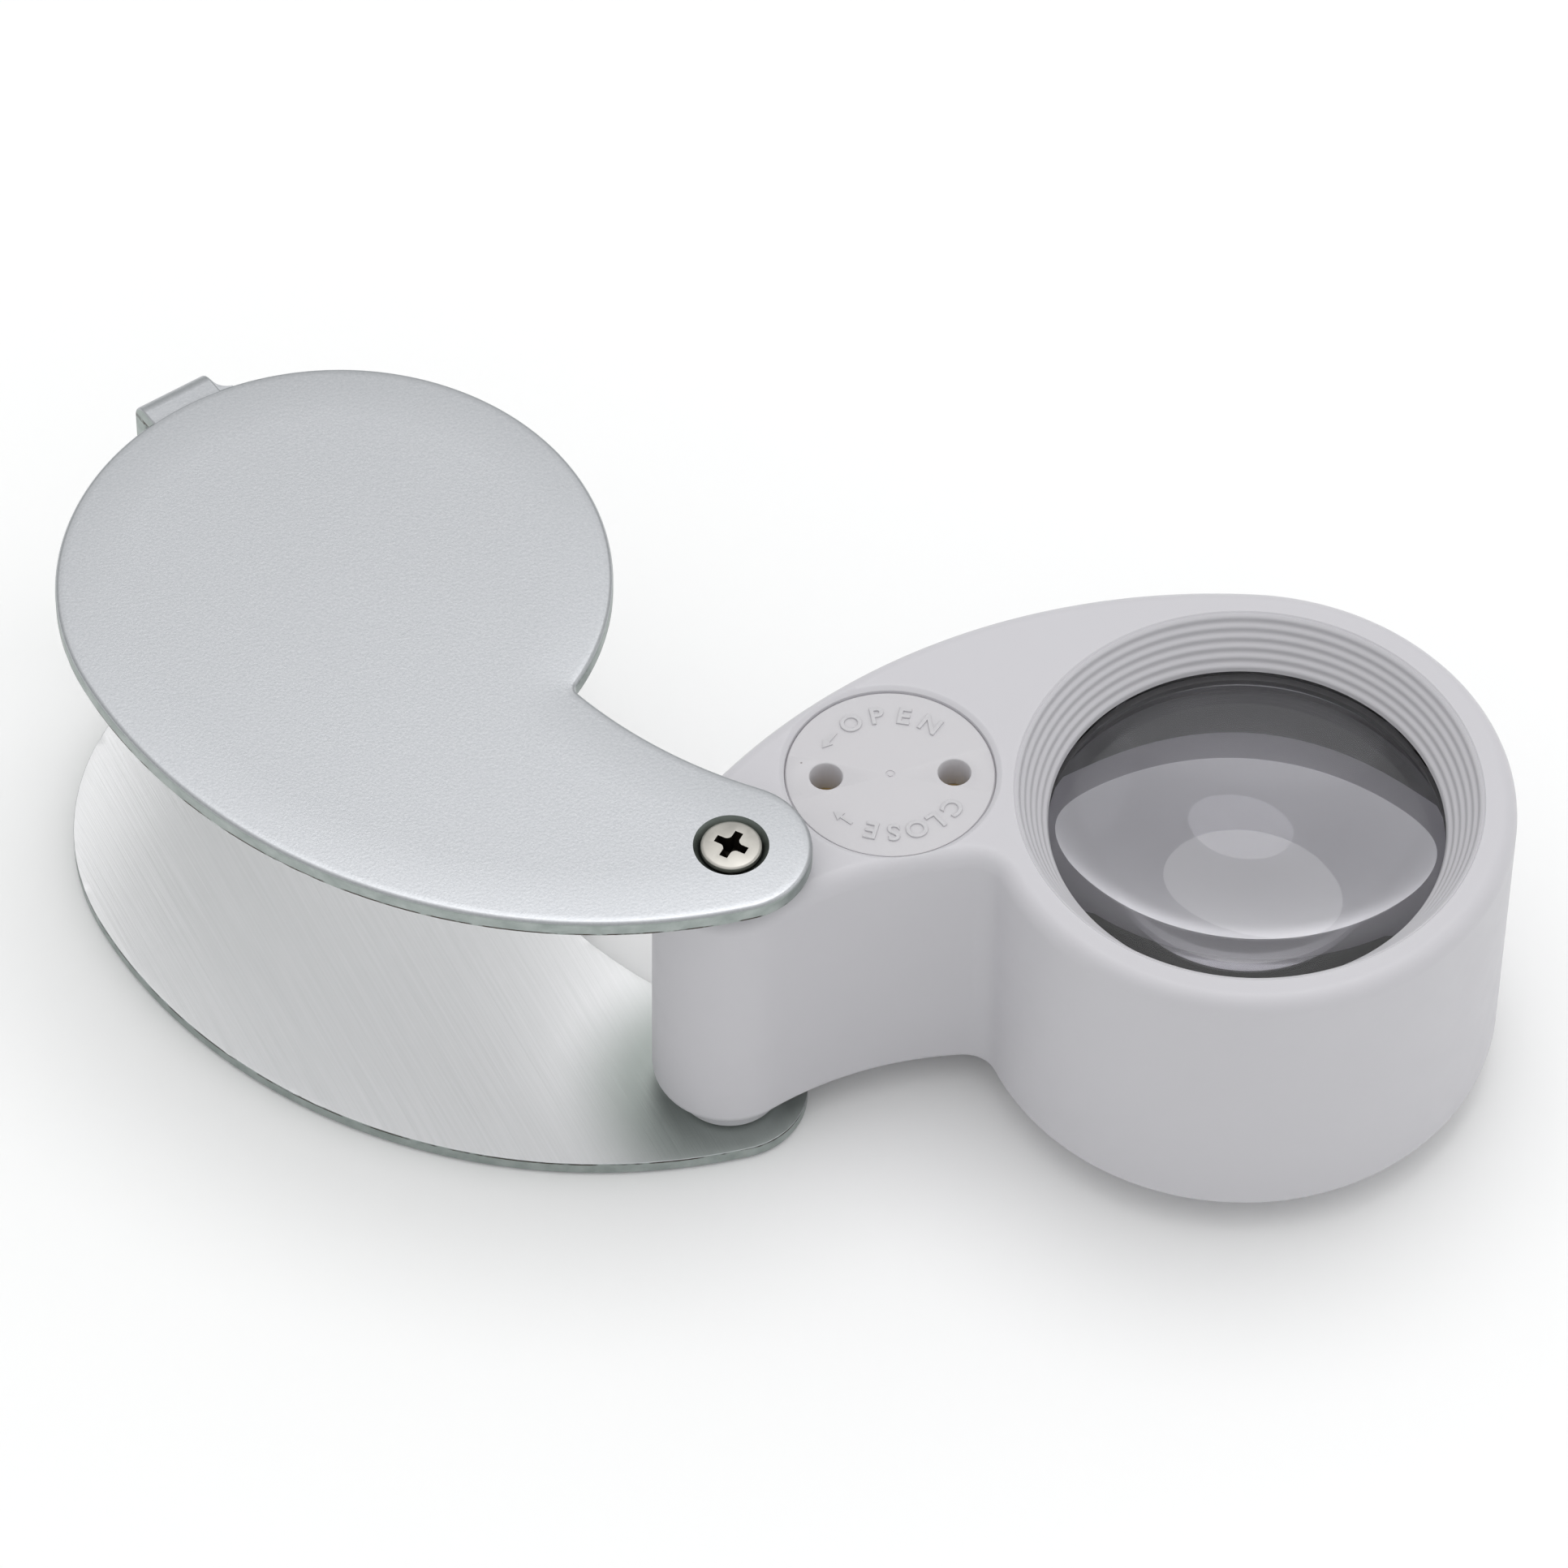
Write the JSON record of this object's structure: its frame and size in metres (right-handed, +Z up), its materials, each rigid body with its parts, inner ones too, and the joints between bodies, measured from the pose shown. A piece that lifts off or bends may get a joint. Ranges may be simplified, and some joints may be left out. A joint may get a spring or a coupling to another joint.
{
  "type": "folding jewelers loupe",
  "caption": "Folding pocket magnifier: a lens body with a built-in lamp and battery cap swings out of a folded sheet metal cover on a screwed pivot.",
  "frame": {"origin": "middle of the bounding box seen from above, on the underside of the cover's lower plate, with the lens body 128.4 degrees open", "axes": "+X from the pivot towards the lens centre, +Z up along the pivot and the lens axis, out of the eye side"},
  "size_m": [0.0864, 0.0622, 0.0256],
  "materials": {
    "cover_metal": "satin blasted, faintly scratched, raw worn edges",
    "body_plastic": "smooth satin moulding",
    "cap_plastic": null,
    "lens_glass": "polished clear",
    "dark_plastic": "matt black against stray light",
    "screw_nickel": "bright nickel plate",
    "turned_steel": "turned",
    "cell_steel": "plated can",
    "contact_brass": "stamped sheet",
    "lamp_clear": "clear cast epoxy",
    "lead_steel": "tinned"
  },
  "bodies": {
    "cover": {"cover_shell": "cover_metal", "pivot_barrel": "turned_steel", "pivot_screw_top": "screw_nickel", "pivot_screw_bottom": "screw_nickel"},
    "lens_body": {"lens_housing": "body_plastic", "base_cover": "body_plastic", "base_screws": "screw_nickel", "eye_lens": "lens_glass", "lens_spacer": "dark_plastic", "field_lens": "lens_glass", "inner_sleeve": "dark_plastic", "cell_top": "cell_steel", "cell_middle": "cell_steel", "cell_bottom": "cell_steel", "bottom_contact": "contact_brass", "side_contact": "contact_brass", "switch_leaf": "contact_brass", "switch_contact": "contact_brass", "led_lamp": "lamp_clear", "led_leads": "lead_steel"},
    "cap_lifter": {"cap_contact": "contact_brass"},
    "cap": {"battery_cap": "cap_plastic"}
  },
  "joints": [
    {"name": "lens_swing", "type": "hinge", "parent": "cover", "child": "lens_body", "pos_m": [-0.00574, -0.01465, 0.0128], "axis": [0, 0, 1], "range_deg": [-76.6, 128.4]},
    {"name": "cap_lift", "type": "slide", "parent": "lens_body", "child": "cap_lifter", "axis": [0, 0, 1], "range_m": [0, 0.00075]},
    {"name": "cap_turn", "type": "hinge", "parent": "cap_lifter", "child": "cap", "pos_m": [0.00536, -0.00885, 0.0216], "axis": [0, 0, 1], "range_deg": [0, 360]}
  ],
  "couplings": [
    {"joint": "cap_turn", "follows": "cap_lift", "rad_per_m": 8377.5}
  ]
}
